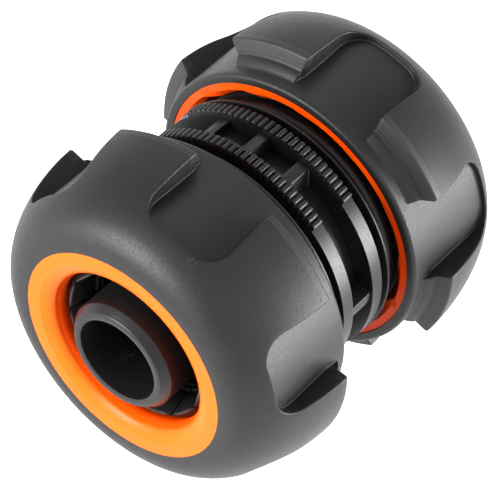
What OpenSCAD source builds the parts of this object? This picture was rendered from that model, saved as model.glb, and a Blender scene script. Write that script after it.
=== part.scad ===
// Garden hose mender: a double-ended hose connector with a screw nut at each end.
// X is the hose axis, with the origin on it at the middle of the body. +Z is up.
// The end towards -X is called near, and the end towards +X far.
// Everything at an end is drawn along its own z axis, which points out of the mouth.

/* [Hose] */
// Outside diameter of the spigots that the hose is pushed over
spigot_d = 19.4; // [18.4:0.1:19.8]
// Wall of the spigots round the bore
spigot_wall = 2.35; // [1.8:0.05:3]
// Room round the spigot inside the closed clamping fingers
hose_room = 2.3; // [2:0.1:2.5]

/* [Body] */
// How far the two middle flanges reach past the nut's thread crests, without their knurl
flange_over = 0.7; // [0.4:0.05:1.2]
// Width of each flange
flange_w = 2.4; // [1.8:0.1:3]
// Space between the two flanges
flange_gap = 5; // [3.5:0.1:7]
// Depth of the round core between the flanges below their rims
core_depth = 3.75; // [3:0.05:4.5]
// Depth of the flat pocket floors between the ribs below the top of the rims
floor_depth = 3.45; // [2.6:0.05:3.7]
// Thickness of the ribs between the flanges
rib_w = 1.9; // [1.2:0.1:2.6]
// Distance of the outer ribs from the middle rib
rib_step = 7.8; // [6.5:0.1:8.4]
// How far the ribs stay below the flange rims
rib_drop = 0.5; // [0.2:0.1:1]
// Number of knurl teeth in each of the two fields on a flange
knurl_teeth = 29; // [21:2:29]
// Angle from one knurl tooth to the next
knurl_pitch = 3; // [2.6:0.1:3]
// Height of the knurl teeth
knurl_h = 0.8; // [0.4:0.1:1]
// Angle of the mould's opening direction from straight up
draw_angle = 14; // [0:1:30]

/* [Body ends] */
// Space between a flange and the thin stop flange behind it
stop_gap = 1.35; // [1:0.05:2]
// Thickness of the stop flange
stop_w = 0.5; // [0.4:0.05:1]
// How far the stop flange reaches past the nut's thread crests
stop_over = 0.85; // [0.5:0.05:1.2]
// Wall of the sleeve in the groove beside the guide bead
groove_wall = 2.7; // [2:0.05:3.2]
// Radius of the rounded guide bead's section, and its height above the groove
bead_r = 1.4; // [1:0.1:1.5]
// Distance of the bead's middle from the stop flange
bead_from_stop = 2.55; // [2.2:0.05:2.8]
// Room round the bead inside the nut's thread crests
bead_room = 0.65; // [0.4:0.05:1]
// Room past the threaded sleeve when the nut stands against the stop flange
sleeve_room = 0.3; // [0.2:0.05:1.5]
// How far the spigot stands out past the nut
tip_out = 1; // [0.5:0.1:3]
// Width of the spigot's flat end
tip_wall = 1.25; // [0.8:0.05:1.6]
// Length of the chamfer at the spigot's end
tip_l = 1.35; // [0.8:0.05:2.5]

/* [Thread] */
// Number of thread starts
starts = 14; // [10:1:16]
// Advance of the nut in one whole turn
lead = 36; // [30:1:44]
// Depth of the nut's thread
thread_h = 1.2; // [0.8:0.1:1.3]
// Gap between the thread of the nut and that of the body
thread_gap = 0.3; // [0.25:0.05:0.35]

/* [Nut] */
// Length of the nut
nut_l = 22.9; // [22.4:0.1:24]
// Space between the nut and the stop flange, as the nuts stand
nut_gap = 2.05; // [1.9:0.05:3]
// Distance of the throat's wall outside the fingers' grip
throat_w = 2.45; // [2.2:0.05:2.8]
// Width of the funnel
funnel_w = 1.95; // [1.4:0.05:2.4]
// Width of the hard ring's flat front face
face_w = 2.55; // [1.8:0.05:3.2]
// Depth of the funnel
funnel_l = 1.6; // [1.2:0.1:1.8]
// Wall of the hard ring outside its thread
insert_wall = 1.38; // [1.1:0.05:1.8]

/* [Grip] */
// Thickness of the grip in the recesses
grip_wall = 1.57; // [1.2:0.05:2]
// Height of the lobes above the recesses, at their rear edge
lobe_h = 3.9; // [2.5:0.1:4.5]
// Width of a recess
recess_w = 14; // [11:0.5:16]
// Distance of the recesses behind the front face
recess_from = 4.3; // [3.5:0.1:6]
// Radius of the recess corners
recess_r = 3.3; // [1.5:0.1:4]
// Distance of the lobes' rear walls from the nut's rear
lobe_back = 4.5; // [3.8:0.1:5.8]

/* [Collet] */
// Number of clamping fingers
fingers = 12; // [8:1:14]
// Width of the slits between the fingers
slit_w = 0.35; // [0.25:0.05:0.8]
// Angle by which the slits are turned
slit_phase = 3; // [0:1:15]
// Distance of the finger tips behind the nut's face
tip_back = 3; // [2.8:0.1:3.2]
// Thickness of the fingers' wall behind the grip teeth
collet_wall = 3.3; // [2.8:0.1:3.4]
// Running gap round the collet
collet_gap = 0.3; // [0.25:0.05:0.35]

/* [Hidden] */
black = [0.07, 0.07, 0.075];
orange = [1.0, 0.36, 0.02];
charcoal = [0.19, 0.19, 0.19];
// Overlap of joined shapes, and a length that is past everything
eps = 0.01;
big = 60;
// Smoothness of the round faces, and of small rounds
round_fn = 96;
small_fn = 48;
// Number of steps in the dome's outline
dome_steps = 26;
// Turn of one slice of the thread
slice_turn = 7.5;

// Wall between a flange and the pocket behind it
pocket_wall = 1.6;
// Room behind the collet when the nut stands against the stop flange
end_room = 0.5;
// Plain length between the bead and the thread, and at the sleeve's end
thread_back = 0.3;
sleeve_chamfer = 0.6;
sleeve_plain = 0.2;

// Places along the axis, measured from the middle of the body
flange_in = flange_gap / 2;
flange_out = flange_in + flange_w;
stop_in = flange_out + stop_gap;
stop_out = stop_in + stop_w;
nut_rear = stop_out + nut_gap;
nut_face = nut_rear + nut_l;
tip_end = nut_face + tip_out;
lobe_to = nut_l - lobe_back;
bead_at = stop_out + bead_from_stop;
thread_from = bead_at + bead_r + thread_back;
pocket_floor = flange_out + pocket_wall;
collet_end = pocket_floor + nut_gap + end_room;

// Radii, from the bore outwards
spigot_r = spigot_d / 2;
bore_r = spigot_r - spigot_wall;
tip_end_r = bore_r + tip_wall;
// The fingers' inside over their grip teeth, and the plain inside behind them
grip_in_r = spigot_r + hose_room;
collet_in_r = grip_in_r + 1.1;
collet_r = collet_in_r + collet_wall;
sleeve_in_r = collet_r + collet_gap;
bead_mid_r = sleeve_in_r + groove_wall;
nut_crest_r = bead_mid_r + bead_r + bead_room;
nut_root_r = nut_crest_r + thread_h;
body_root_r = nut_crest_r - thread_gap;
flange_r = nut_crest_r + flange_over;
stop_r = nut_crest_r + stop_over;
core_r = flange_r - core_depth;
floor_h = flange_r - floor_depth;
throat_r = grip_in_r + throat_w;
mouth_r = throat_r + funnel_w;
face_r = mouth_r + face_w;
insert_r = nut_root_r + insert_wall;
floor_r = insert_r + grip_wall;
lobe_r = floor_r + lobe_h;

// The thread's angle of play at its steep flanks, and how far its crests stay low
slack = thread_gap / nut_root_r * 180 / PI;
crest_room = 0.05;
// Depth to which the body's thread is rooted in its sleeve
root_sink = 0.1;
// Distance of the hard ring's rear face inside the grip's
rear_back = 0.2;
// Angle of a thread start at the hard ring's rear face
start_angle = 13;
thread_phase = start_angle - (nut_rear + rear_back) * 360 / lead;

// Inside of the nut, as depths behind its face: the funnel, the step behind the throat
// and the cone that squeezes the fingers
throat_step = 0.35;
step_from = funnel_l + 0.6;
step_to = funnel_l + 0.9;
lip_r = throat_r - throat_step;
cone_from = 3.2;
cone_to = 8.6;
cone_slope = (collet_r + collet_gap + 0.1 - lip_r) / (cone_to - cone_from);
// The collet's collar, the groove that holds it and the snap rim behind the groove
collar_from = 9.2;
collar_to = 9.9;
catch_r = collet_r + 0.5;
collar_r = catch_r + 0.4;
collar_room_r = collar_r + collet_gap;
room_from = collar_from - collet_gap;
room_to = collar_to + collet_gap;
catch_from = room_to + 0.2;
catch_to = catch_from + 0.5;
taper_to = catch_to + 1.5;
// Depth at which the nut's thread runs out
thread_to = taper_to + 0.5;
// End of the body's sleeve, which stays clear of the nut's taper
sleeve_end = stop_out + nut_l - taper_to - sleeve_room;

// Grip teeth inside the fingers: their number, first depth, length, height and steep side
grip_teeth = 3;
teeth_from = 5.2;
tooth_l = 2;
tooth_h = 0.7;
tooth_crest = 0.85;
// The finger tips, and where the slits end at the solid ring of the collet
tip_r = (grip_in_r + lip_r) / 2;
slit_from = sleeve_end + 0.8;

// Grip outline: the lobes' rear edge, the low plinth under it and the rear collar
dome_power = 1.5;
dome_root = 0.435;
rear_edge = [0.4, 0.3];
rear_edge_to = lobe_to + 0.7;
plinth_r = floor_r + 1.3;
plinth_low_r = floor_r + 0.4;
ring_r = floor_r + 0.2;
plinth_end = nut_l - 2.1;
rear_round = 0.7;

// Places a piece that is drawn along z at the far end, or at the near one
module at_end(far) {
    rotate([0, far ? 90 : -90, 0]) children();
}

// A ring turned from an outline of [radius, place] points
module turned(outline) {
    rotate_extrude($fn = round_fn) polygon(outline);
}

// An outline of [radius, depth behind the nut's face] points, as [radius, place]
function from_face(outline) = [for (p = outline) [p[0], nut_face - p[1]]];

// Buttress thread outline: each start rises slowly by h above r and drops back at once.
// gap is the angle by which a tooth is narrower than its share of the turn.
function buttress(r, h, gap) = [
    for (k = [0:starts - 1])
        for (c = concat([for (t = [0:3]) [t / 3, t / 3]], gap > 0 ? [[1, 0]] : []))
            let (a = (k + c[0]) * 360 / starts - gap * c[0])
                (r + h * c[1]) * [cos(a), sin(a)]
];

module thread_prism(r, h, gap, from, to) {
    turn = 360 / lead;
    translate([0, 0, from])
        rotate([0, 0, thread_phase + from * turn])
            linear_extrude(height = to - from, twist = -(to - from) * turn,
                           slices = ceil((to - from) * turn / slice_turn))
                polygon(buttress(r, h, gap));
}

// Body: spigots, flanges, ribs and threaded sleeves in one moulding

module body() {
    color(black)
        difference() {
            union() {
                rotate([-draw_angle, 0, 0]) middle();
                for (far = [false, true]) at_end(far) body_end();
            }
            rotate([0, 90, 0])
                cylinder(r = bore_r, h = 2 * tip_end + 2, center = true, $fn = round_fn);
        }
}

// Core with ribs and flat floors, drawn in the mould's opening direction
module middle() {
    l = 2 * flange_in + 2 * eps;
    rotate([0, 90, 0]) cylinder(r = core_r, h = l, center = true, $fn = round_fn);
    intersection() {
        rotate([0, 90, 0])
            cylinder(r = flange_r - rib_drop, h = l, center = true, $fn = round_fn);
        union() {
            for (y = [-rib_step, 0, rib_step])
                translate([0, y, 0]) cube([l, rib_w, big], center = true);
            cube([l, 2 * rib_step, 2 * floor_h], center = true);
            cube([l, big, rib_w], center = true);
        }
    }
    for (side = [-1, 1])
        translate([side * (flange_in + flange_w / 2), 0, 0]) flange();
}

// Flange rim with a field of teeth on each knurled side
module flange() {
    rotate([0, 90, 0]) {
        cylinder(r = flange_r, h = flange_w, center = true, $fn = round_fn);
        for (side = [0, 180])
            rotate([0, 0, side + 180])
                translate([0, 0, -flange_w / 2])
                    linear_extrude(height = flange_w) polygon(knurl_outline());
    }
}

// Trapezoid teeth along an arc, closed through a point inside the rim
function knurl_outline() = concat(
    [[flange_r * 0.7, 0]],
    [for (k = [0:knurl_teeth - 1])
        let (a = (k - (knurl_teeth - 1) / 2) * knurl_pitch)
            for (c = [[-0.5, 0], [-0.2, 1], [0.2, 1], [0.5, 0]])
                let (r = flange_r - eps + knurl_h * c[1], b = a + c[0] * knurl_pitch)
                    r * [cos(b), sin(b)]]
);

// One end of the body, drawn along z from just inside the flange
module body_end() {
    difference() {
        union() {
            turned([
                [0, flange_in], [bead_mid_r, flange_in], [bead_mid_r, stop_in],
                [stop_r, stop_in], [stop_r, stop_out], [bead_mid_r, stop_out],
                [bead_mid_r, thread_from], [body_root_r, thread_from],
                [body_root_r, sleeve_end - sleeve_chamfer],
                [body_root_r - sleeve_chamfer, sleeve_end], [0, sleeve_end]
            ]);
            translate([0, 0, bead_at]) rotate_extrude($fn = round_fn)
                translate([bead_mid_r, 0]) circle(r = bead_r, $fn = small_fn);
            thread_prism(body_root_r - root_sink, thread_h - crest_room + root_sink, slack,
                         thread_from, sleeve_end - sleeve_plain);
        }
        difference() {
            translate([0, 0, pocket_floor])
                cylinder(r = sleeve_in_r, h = big, $fn = round_fn);
            spigot();
        }
    }
    spigot();
}

module spigot() {
    cylinder(r = spigot_r, h = tip_end - tip_l, $fn = round_fn);
    translate([0, 0, tip_end - tip_l])
        cylinder(r1 = spigot_r, r2 = tip_end_r, h = tip_l, $fn = round_fn);
}

// Nut insert: the hard ring with the funnel mouth, the squeezing cone and the thread

module nut_insert() {
    color(orange)
        difference() {
            turned(from_face(concat(insert_outside, insert_inside)));
            thread_prism(nut_crest_r, thread_h, 0, nut_rear - 1, nut_face - thread_to);
        }
}

// Its outside, where the grip is moulded on, from the front face to the rear
insert_outside = [
    [face_r, 0], [face_r + 0.5, 1.2], [face_r + 3, 4.5], [insert_r, 8],
    [insert_r, nut_l - rear_back]
];
// Its inside, from the rear to the front face
insert_inside = [
    [nut_crest_r, nut_l - rear_back], [nut_crest_r, taper_to], [catch_r, catch_to],
    [catch_r, catch_from], [collar_room_r, room_to], [collar_room_r, room_from],
    [cone_r(cone_to), cone_to], [lip_r, cone_from], [lip_r, step_to],
    [throat_r, step_from], [throat_r, funnel_l], [mouth_r, 0]
];

// Radius of the squeezing cone at a depth behind the nut's face
function cone_r(depth) = lip_r + cone_slope * (depth - cone_from);

// Grip shell: the soft grip with six lobes, moulded on the insert

module grip_shell() {
    color(charcoal)
        difference() {
            union() {
                difference() {
                    turned(from_face(concat(lobe_outline(), [[0, nut_l], [0, 0]])));
                    for (k = [0:5]) rotate([0, 0, k * 60]) recess_prism();
                }
                turned(from_face(concat(floor_outline(), [[0, nut_l], [0, 0]])));
            }
            turned(from_face(concat(
                insert_outside,
                [[insert_r, nut_l + 1], [0, nut_l + 1], [0, -1], [face_r, -1]])));
        }
}

// Dome radius at depth u behind the face
function dome(u) =
    face_r + (lobe_r - face_r) * pow(1 - pow(1 - u / lobe_to, dome_power), dome_root);

// Depths at which the dome's outline is drawn, close together at the front
function dome_depth(i) = lobe_to * pow(i / dome_steps, 2);

function lobe_outline() = concat(
    [for (i = [0:dome_steps]) [dome(dome_depth(i)), dome_depth(i)]],
    [[lobe_r - rear_edge[0], lobe_to + rear_edge[1]], [plinth_r, rear_edge_to],
     [plinth_low_r, plinth_end]],
    rear_outline()
);

// The rear collar with its rounded edge
function rear_outline() = concat(
    [[ring_r, plinth_end]],
    [for (a = [0:22.5:90])
        [ring_r - rear_round + rear_round * cos(a), nut_l - rear_round + rear_round * sin(a)]]
);

// Where the recesses leave only their floor
function floor_outline() = concat(
    [for (i = [0:dome_steps]) if (dome(dome_depth(i)) < floor_r)
        [dome(dome_depth(i)), dome_depth(i)]],
    [[floor_r, floor_front()]],
    rear_outline()
);

// Depth at which the dome reaches the recess floor's radius
function floor_front() =
    let (share = (floor_r - face_r) / (lobe_r - face_r))
        lobe_to * (1 - pow(1 - pow(share, 1 / dome_root), 1 / dome_power));

// One recess: a slot with round front corners, cut straight in towards the axis
module recess_prism() {
    l = nut_l - recess_from + 1;
    translate([0, 0, nut_face - recess_from])
        rotate([0, 90, 0])
            linear_extrude(height = big) {
                translate([recess_r, -recess_w / 2]) square([l - recess_r, recess_w]);
                translate([0, recess_r - recess_w / 2])
                    square([recess_r + eps, recess_w - 2 * recess_r]);
                for (side = [-1, 1])
                    translate([recess_r, side * (recess_w / 2 - recess_r)])
                        circle(r = recess_r, $fn = small_fn);
            }
}

// Collet: the ring of clamping fingers round the spigot

module collet() {
    color(black)
        difference() {
            turned(from_face(concat(collet_outside, collet_inside())));
            for (k = [0:fingers - 1])
                rotate([0, 0, (k + 0.5) * 360 / fingers + slit_phase])
                    translate([0, -slit_w / 2, slit_from])
                        cube([big, slit_w, big]);
        }
}

// Finger outside under the squeezing cone, then the collar that the nut holds
finger_from = cone_from + 0.9;
finger_to = cone_to - 0.2;
collar_edge = [0.2, 0.15];
collet_outside = [
    [tip_r, tip_back],
    [cone_r(finger_from) - collet_gap, finger_from],
    [cone_r(finger_to) - collet_gap, finger_to],
    [collet_r, room_from],
    [collar_r - collar_edge[0], collar_from - collar_edge[1]],
    [collar_r, collar_from], [collar_r, collar_to], [collet_r, room_to],
    [collet_r, nut_face - collet_end]
];
// Inside, from the ring to the tips: plain, then the grip teeth, then the lead-in
function collet_inside() = concat(
    [[collet_in_r, nut_face - collet_end], [collet_in_r, teeth_from + grip_teeth * tooth_l]],
    [for (k = [grip_teeth - 1:-1:0], c = [[tooth_h, tooth_crest], [0, 0]])
        [grip_in_r + c[0], teeth_from + (k + c[1]) * tooth_l]]
);

body();
at_end(false) collet();  // near_collet
at_end(false) nut_insert();  // near_nut_insert
at_end(false) grip_shell();  // near_grip_shell
at_end(true) collet();  // far_collet
at_end(true) nut_insert();  // far_nut_insert
at_end(true) grip_shell();  // far_grip_shell
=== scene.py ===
"""Garden hose mender: the finish of a double-ended hose connector, built round its CAD model.

Two soft-grip screw nuts with hard orange mouths stand on a black ribbed body. Each end is
drawn along its own z axis, in millimetres, and then laid along the hose axis in metres.
"""

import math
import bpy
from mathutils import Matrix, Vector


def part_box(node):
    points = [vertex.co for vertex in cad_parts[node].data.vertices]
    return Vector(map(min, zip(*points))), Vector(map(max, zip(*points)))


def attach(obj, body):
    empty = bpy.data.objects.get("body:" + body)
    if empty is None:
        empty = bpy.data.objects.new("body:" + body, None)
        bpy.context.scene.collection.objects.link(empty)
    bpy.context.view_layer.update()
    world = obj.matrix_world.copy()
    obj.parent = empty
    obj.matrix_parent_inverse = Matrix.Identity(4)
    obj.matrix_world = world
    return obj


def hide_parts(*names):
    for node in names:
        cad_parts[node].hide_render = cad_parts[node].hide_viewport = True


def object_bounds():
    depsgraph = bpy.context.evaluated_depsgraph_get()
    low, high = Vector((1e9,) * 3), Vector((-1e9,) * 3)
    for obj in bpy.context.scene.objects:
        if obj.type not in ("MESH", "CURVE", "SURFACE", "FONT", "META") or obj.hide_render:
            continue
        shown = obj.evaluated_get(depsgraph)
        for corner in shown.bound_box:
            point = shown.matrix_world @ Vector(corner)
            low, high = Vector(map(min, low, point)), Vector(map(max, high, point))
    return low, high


bl_info = {
    "name": "Hose mender",
    "version": (1, 0, 0),
    "blender": (4, 5, 0),
    "location": "3D View > Sidebar > Hose mender",
    "description": "Builds the grips, rings, clamping fingers, body and stage of a hose mender",
    "category": "Object",
}

from types import SimpleNamespace

import bmesh
import bpy
from bpy.props import FloatProperty, FloatVectorProperty, IntProperty, PointerProperty
from mathutils import Euler, Matrix, Vector
from mathutils.geometry import delaunay_2d_cdt

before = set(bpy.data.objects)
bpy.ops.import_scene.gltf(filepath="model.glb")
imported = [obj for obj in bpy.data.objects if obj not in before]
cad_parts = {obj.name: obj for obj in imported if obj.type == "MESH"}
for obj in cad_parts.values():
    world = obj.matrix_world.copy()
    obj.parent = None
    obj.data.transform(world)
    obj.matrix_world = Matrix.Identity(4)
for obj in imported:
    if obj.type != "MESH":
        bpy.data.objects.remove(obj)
CAD_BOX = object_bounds()

MM = 0.001
ENDS = ("near", "far")
# An end's own z axis points out of its mouth
END_TURN = {
    "near": Matrix.Rotation(math.radians(-90), 4, "Y") @ Matrix.Scale(MM, 4),
    "far": Matrix.Rotation(math.radians(90), 4, "Y") @ Matrix.Scale(MM, 4),
}
NUT_FACE = -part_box("near_nut_insert")[0].x / MM
NUT_REAR = -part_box("near_grip_shell")[1].x / MM
NUT_L = NUT_FACE - NUT_REAR
TIP_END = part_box("body")[1].x / MM


def length(name, text, default_mm):
    """A length property whose default is given in millimetres."""
    return FloatProperty(name=name, description=text, default=default_mm * MM, unit="LENGTH", precision=5)


class MenderSizes(bpy.types.PropertyGroup):
    """Sizes that shape the visible forms."""

    spigot_r: length("Spigot radius", "Outside radius of the spigots", 9.7)
    bore_r: length("Bore radius", "Radius of the bore through the body", 7.35)
    tip_r: length("Spigot end radius", "Radius of the spigot's end inside its chamfer", 8.6)
    face_r: length("Face radius", "Outside radius of the orange front face", 18.95)
    mouth_r: length("Mouth radius", "Radius of the mouth's outer edge", 16.4)
    throat_r: length("Throat radius", "Radius of the throat behind the funnel", 14.45)
    crest_r: length("Thread crest radius", "Radius over the nut's thread crests", 21.45)
    thread_h: length("Thread depth", "Depth of the nut's saw-tooth thread", 1.2)
    ring_r: length("Ring radius", "Outside radius of the hard ring under the grip", 24.03)
    floor_r: length("Recess radius", "Radius of the grip in its recesses", 25.6)
    lobe_r: length("Lobe radius", "Largest radius over the lobes", 29.5)
    recess_w: length("Recess width", "Width of a recess", 14.7)
    recess_r: length("Recess corner", "Radius of a recess's corners", 4.2)
    recess_from: length("Recess start", "Distance of a recess behind the front face", 5.1)
    edge_round: length("Lobe edge", "Rounding along the top edges of the lobes", 0.38)
    foot_round: length("Lobe foot", "Fillet along the foot of the lobes", 0.25)
    flange_r: length("Flange radius", "Radius of the two middle flanges", 22.15)
    knurl_h: length("Knurl height", "Height of the knurl teeth", 0.8)
    rib_w: length("Rib width", "Thickness of the ribs between the flanges", 1.9)
    starts: IntProperty(name="Thread starts", description="Number of thread starts", default=14)
    fingers: IntProperty(name="Fingers", description="Number of clamping fingers", default=12)


class MenderColours(bpy.types.PropertyGroup):
    """Colours of the three plastics."""

    grip: FloatVectorProperty(name="Grip", description="Soft charcoal grip", subtype="COLOR",
                              size=3, default=(0.0095, 0.0095, 0.0099))
    black: FloatVectorProperty(name="Body", description="Black moulded body", subtype="COLOR",
                               size=3, default=(0.0070, 0.0070, 0.0073))
    orange: FloatVectorProperty(name="Orange", description="Hard orange rings", subtype="COLOR",
                                size=3, default=(1.0, 0.145, 0.002))


def in_mm(group):
    """The group's values, with its lengths in millimetres."""
    values = {}
    for key in group.__annotations__:
        value = getattr(group, key)
        values[key] = value if isinstance(value, int) else value / MM
    return SimpleNamespace(**values)


# Meshes

def mesh_from(name, points, faces):
    mesh = bpy.data.meshes.new(name)
    mesh.from_pydata([tuple(p) for p in points], [], faces)
    return mesh


def weld(mesh, distance):
    """Merges what meets, turns the faces outwards and refuses a mesh with open edges."""
    shape = bmesh.new()
    shape.from_mesh(mesh)
    bmesh.ops.remove_doubles(shape, verts=shape.verts, dist=distance)
    bmesh.ops.dissolve_degenerate(shape, dist=distance / 10, edges=shape.edges)
    bmesh.ops.recalc_face_normals(shape, faces=shape.faces)
    loose = [e for e in shape.edges if len(e.link_faces) != 2]
    shape.to_mesh(mesh)
    shape.free()
    if loose:
        raise RuntimeError(f"{mesh.name} has {len(loose)} edges that don't join two faces")
    return mesh


def object_of(name, mesh):
    obj = bpy.data.objects.new(name, mesh)
    bpy.context.scene.collection.objects.link(obj)
    return obj


def baked(obj):
    """Makes the modifiers' result the object's own plain mesh."""
    bpy.context.view_layer.update()
    shaped = obj.evaluated_get(bpy.context.evaluated_depsgraph_get())
    mesh = bpy.data.meshes.new_from_object(shaped)
    obj.modifiers.clear()
    old, obj.data = obj.data, mesh
    bpy.data.meshes.remove(old)
    return obj


def joined(base, others):
    """Unites closed solids in one closed mesh."""
    for other in others:
        join = base.modifiers.new("join", "BOOLEAN")
        join.operation = "UNION"
        join.solver = "MANIFOLD"
        join.object = other
    baked(base)
    for other in others:
        bpy.data.objects.remove(other)
    return base


def finish_piece(obj, name, material, smooth_to=38):
    """Names and shades a piece and gives it its material."""
    obj.name = name
    obj.data.name = name
    obj.data.materials.clear()
    obj.data.materials.append(material)
    obj.data.shade_smooth()
    obj.data.set_sharp_from_angle(angle=math.radians(smooth_to))
    return obj


def grid(rows, wrap_rows=False, wrap_cols=False):
    """Points and faces of a net of rows that all have as many points."""
    n_rows, n_cols = len(rows), len(rows[0])
    points = [p for row in rows for p in row]
    faces = []
    for i in range(n_rows if wrap_rows else n_rows - 1):
        for j in range(n_cols if wrap_cols else n_cols - 1):
            a, b = i * n_cols, (i + 1) % n_rows * n_cols
            k = (j + 1) % n_cols
            faces.append((a + j, a + k, b + k, b + j))
    return points, faces


def add_net(points, faces, net):
    shift = len(points)
    points += net[0]
    faces += [tuple(i + shift for i in face) for face in net[1]]


def around(radius, angle, z):
    return (radius * math.cos(angle), radius * math.sin(angle), z)


def arc(centre, radius, start, end, steps):
    """Points on an arc in the plane of an outline, in degrees."""
    out = []
    for i in range(steps + 1):
        a = math.radians(start + (end - start) * i / steps)
        out.append((centre[0] + radius * math.cos(a), centre[1] + radius * math.sin(a)))
    return out


# Geometry nodes

def ring_tree():
    """Copies a part round the z axis and joins the copies where they meet."""
    tree = bpy.data.node_groups.new("Ring of parts", "GeometryNodeTree")
    sockets = {}
    for name, kind, default in (
        ("Geometry", "NodeSocketGeometry", None), ("Count", "NodeSocketInt", 6),
        ("Pitch", "NodeSocketFloat", math.radians(60)), ("Start", "NodeSocketFloat", 0.0),
        ("Merge Distance", "NodeSocketFloat", 0.001), ("Material", "NodeSocketMaterial", None),
    ):
        socket = tree.interface.new_socket(name, in_out="INPUT", socket_type=kind)
        if default is not None:
            socket.default_value = default
        sockets[name] = socket.identifier
    tree.interface.new_socket("Geometry", in_out="OUTPUT", socket_type="NodeSocketGeometry")
    make, link = tree.nodes.new, tree.links.new
    given = make("NodeGroupInput")
    line = make("GeometryNodeMeshLine")
    line.inputs["Offset"].default_value = (0, 0, 0)
    link(given.outputs["Count"], line.inputs["Count"])
    index = make("GeometryNodeInputIndex")
    angle = make("ShaderNodeMath")
    angle.operation = "MULTIPLY_ADD"
    link(index.outputs[0], angle.inputs[0])
    link(given.outputs["Pitch"], angle.inputs[1])
    link(given.outputs["Start"], angle.inputs[2])
    euler = make("ShaderNodeCombineXYZ")
    link(angle.outputs[0], euler.inputs["Z"])
    turn = make("FunctionNodeEulerToRotation")
    link(euler.outputs[0], turn.inputs[0])
    copies = make("GeometryNodeInstanceOnPoints")
    link(line.outputs[0], copies.inputs["Points"])
    link(given.outputs["Geometry"], copies.inputs["Instance"])
    link(turn.outputs[0], copies.inputs["Rotation"])
    real = make("GeometryNodeRealizeInstances")
    link(copies.outputs[0], real.inputs[0])
    merge = make("GeometryNodeMergeByDistance")
    link(real.outputs[0], merge.inputs["Geometry"])
    link(given.outputs["Merge Distance"], merge.inputs["Distance"])
    paint = make("GeometryNodeSetMaterial")
    link(merge.outputs[0], paint.inputs["Geometry"])
    link(given.outputs["Material"], paint.inputs["Material"])
    out = make("NodeGroupOutput")
    link(paint.outputs[0], out.inputs[0])
    return tree, sockets


def ring_of(obj, count, pitch, start, material, merge=0.002):
    """Turns an object's mesh into a ring of its copies, as one plain mesh."""
    tree = bpy.data.node_groups.get("Ring of parts")
    if tree is None:
        tree, _ = ring_tree()
    names = {i.name: i.identifier for i in tree.interface.items_tree if i.in_out == "INPUT"}
    modifier = obj.modifiers.new("ring", "NODES")
    modifier.node_group = tree
    modifier[names["Count"]] = count
    modifier[names["Pitch"]] = pitch
    modifier[names["Start"]] = start
    modifier[names["Merge Distance"]] = merge
    modifier[names["Material"]] = material
    return baked(obj)


# Materials

# Where the parting line crosses the lobes, from the middle plane, and above which radius
SEAM_AT = 14.8
SEAM_OVER_R = 27.6
SEAM_HALF_W = 0.08
SEAM_LINE = (0.002, 0.002, 0.002, 1)
SEAM_STRIP = (0.022, 0.022, 0.0225, 1)


def group_of(name, inputs, outputs):
    """A shader node group with float inputs and the named outputs."""
    tree = bpy.data.node_groups.new(name, "ShaderNodeTree")
    for label, default in inputs:
        socket = tree.interface.new_socket(label, in_out="INPUT", socket_type="NodeSocketFloat")
        socket.default_value = default
    for label in outputs:
        tree.interface.new_socket(label, in_out="OUTPUT", socket_type="NodeSocketFloat")
    return tree, tree.nodes.new("NodeGroupInput"), tree.nodes.new("NodeGroupOutput")


def scalar(tree, operation, *values):
    """A math node fed by sockets or plain numbers."""
    node = tree.nodes.new("ShaderNodeMath")
    node.operation = operation
    for socket, value in zip(node.inputs, values):
        if isinstance(value, (int, float)):
            socket.default_value = value
        else:
            tree.links.new(value, socket)
    return node.outputs[0]


def noise(tree, scale, detail, stretch=(1, 1, 1), turn=(0, 0, 0), roughness=0.5):
    """Noise on Object coordinates. The scale is in waves per metre."""
    place = tree.nodes.new("ShaderNodeTexCoord")
    mapping = tree.nodes.new("ShaderNodeMapping")
    mapping.inputs["Scale"].default_value = stretch
    mapping.inputs["Rotation"].default_value = turn
    texture = tree.nodes.new("ShaderNodeTexNoise")
    texture.inputs["Detail"].default_value = detail
    texture.inputs["Roughness"].default_value = roughness
    tree.links.new(place.outputs["Object"], mapping.inputs["Vector"])
    tree.links.new(mapping.outputs["Vector"], texture.inputs["Vector"])
    if isinstance(scale, (int, float)):
        texture.inputs["Scale"].default_value = scale
    else:
        tree.links.new(scale, texture.inputs["Scale"])
    return texture.outputs["Fac"]


def grain_group():
    """Fine moulded grain: a height for bump and a mask of its low places."""
    tree, given, out = group_of(
        "Moulded grain", [("Scale", 3000.0), ("Contrast", 1.0)], ["Height", "Mask"])
    fine = noise(tree, given.outputs["Scale"], 3)
    coarse = noise(tree, scalar(tree, "MULTIPLY", given.outputs["Scale"], 0.3), 2)
    height = scalar(tree, "MULTIPLY_ADD", coarse, 0.35, fine)
    centred = scalar(tree, "SUBTRACT", height, 0.67)
    tree.links.new(scalar(tree, "MULTIPLY", centred, given.outputs["Contrast"]), out.inputs["Height"])
    low = tree.nodes.new("ShaderNodeMapRange")
    low.inputs["From Min"].default_value = 0.42
    low.inputs["From Max"].default_value = 0.62
    tree.links.new(fine, low.inputs["Value"])
    tree.links.new(low.outputs["Result"], out.inputs["Mask"])
    return tree


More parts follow.
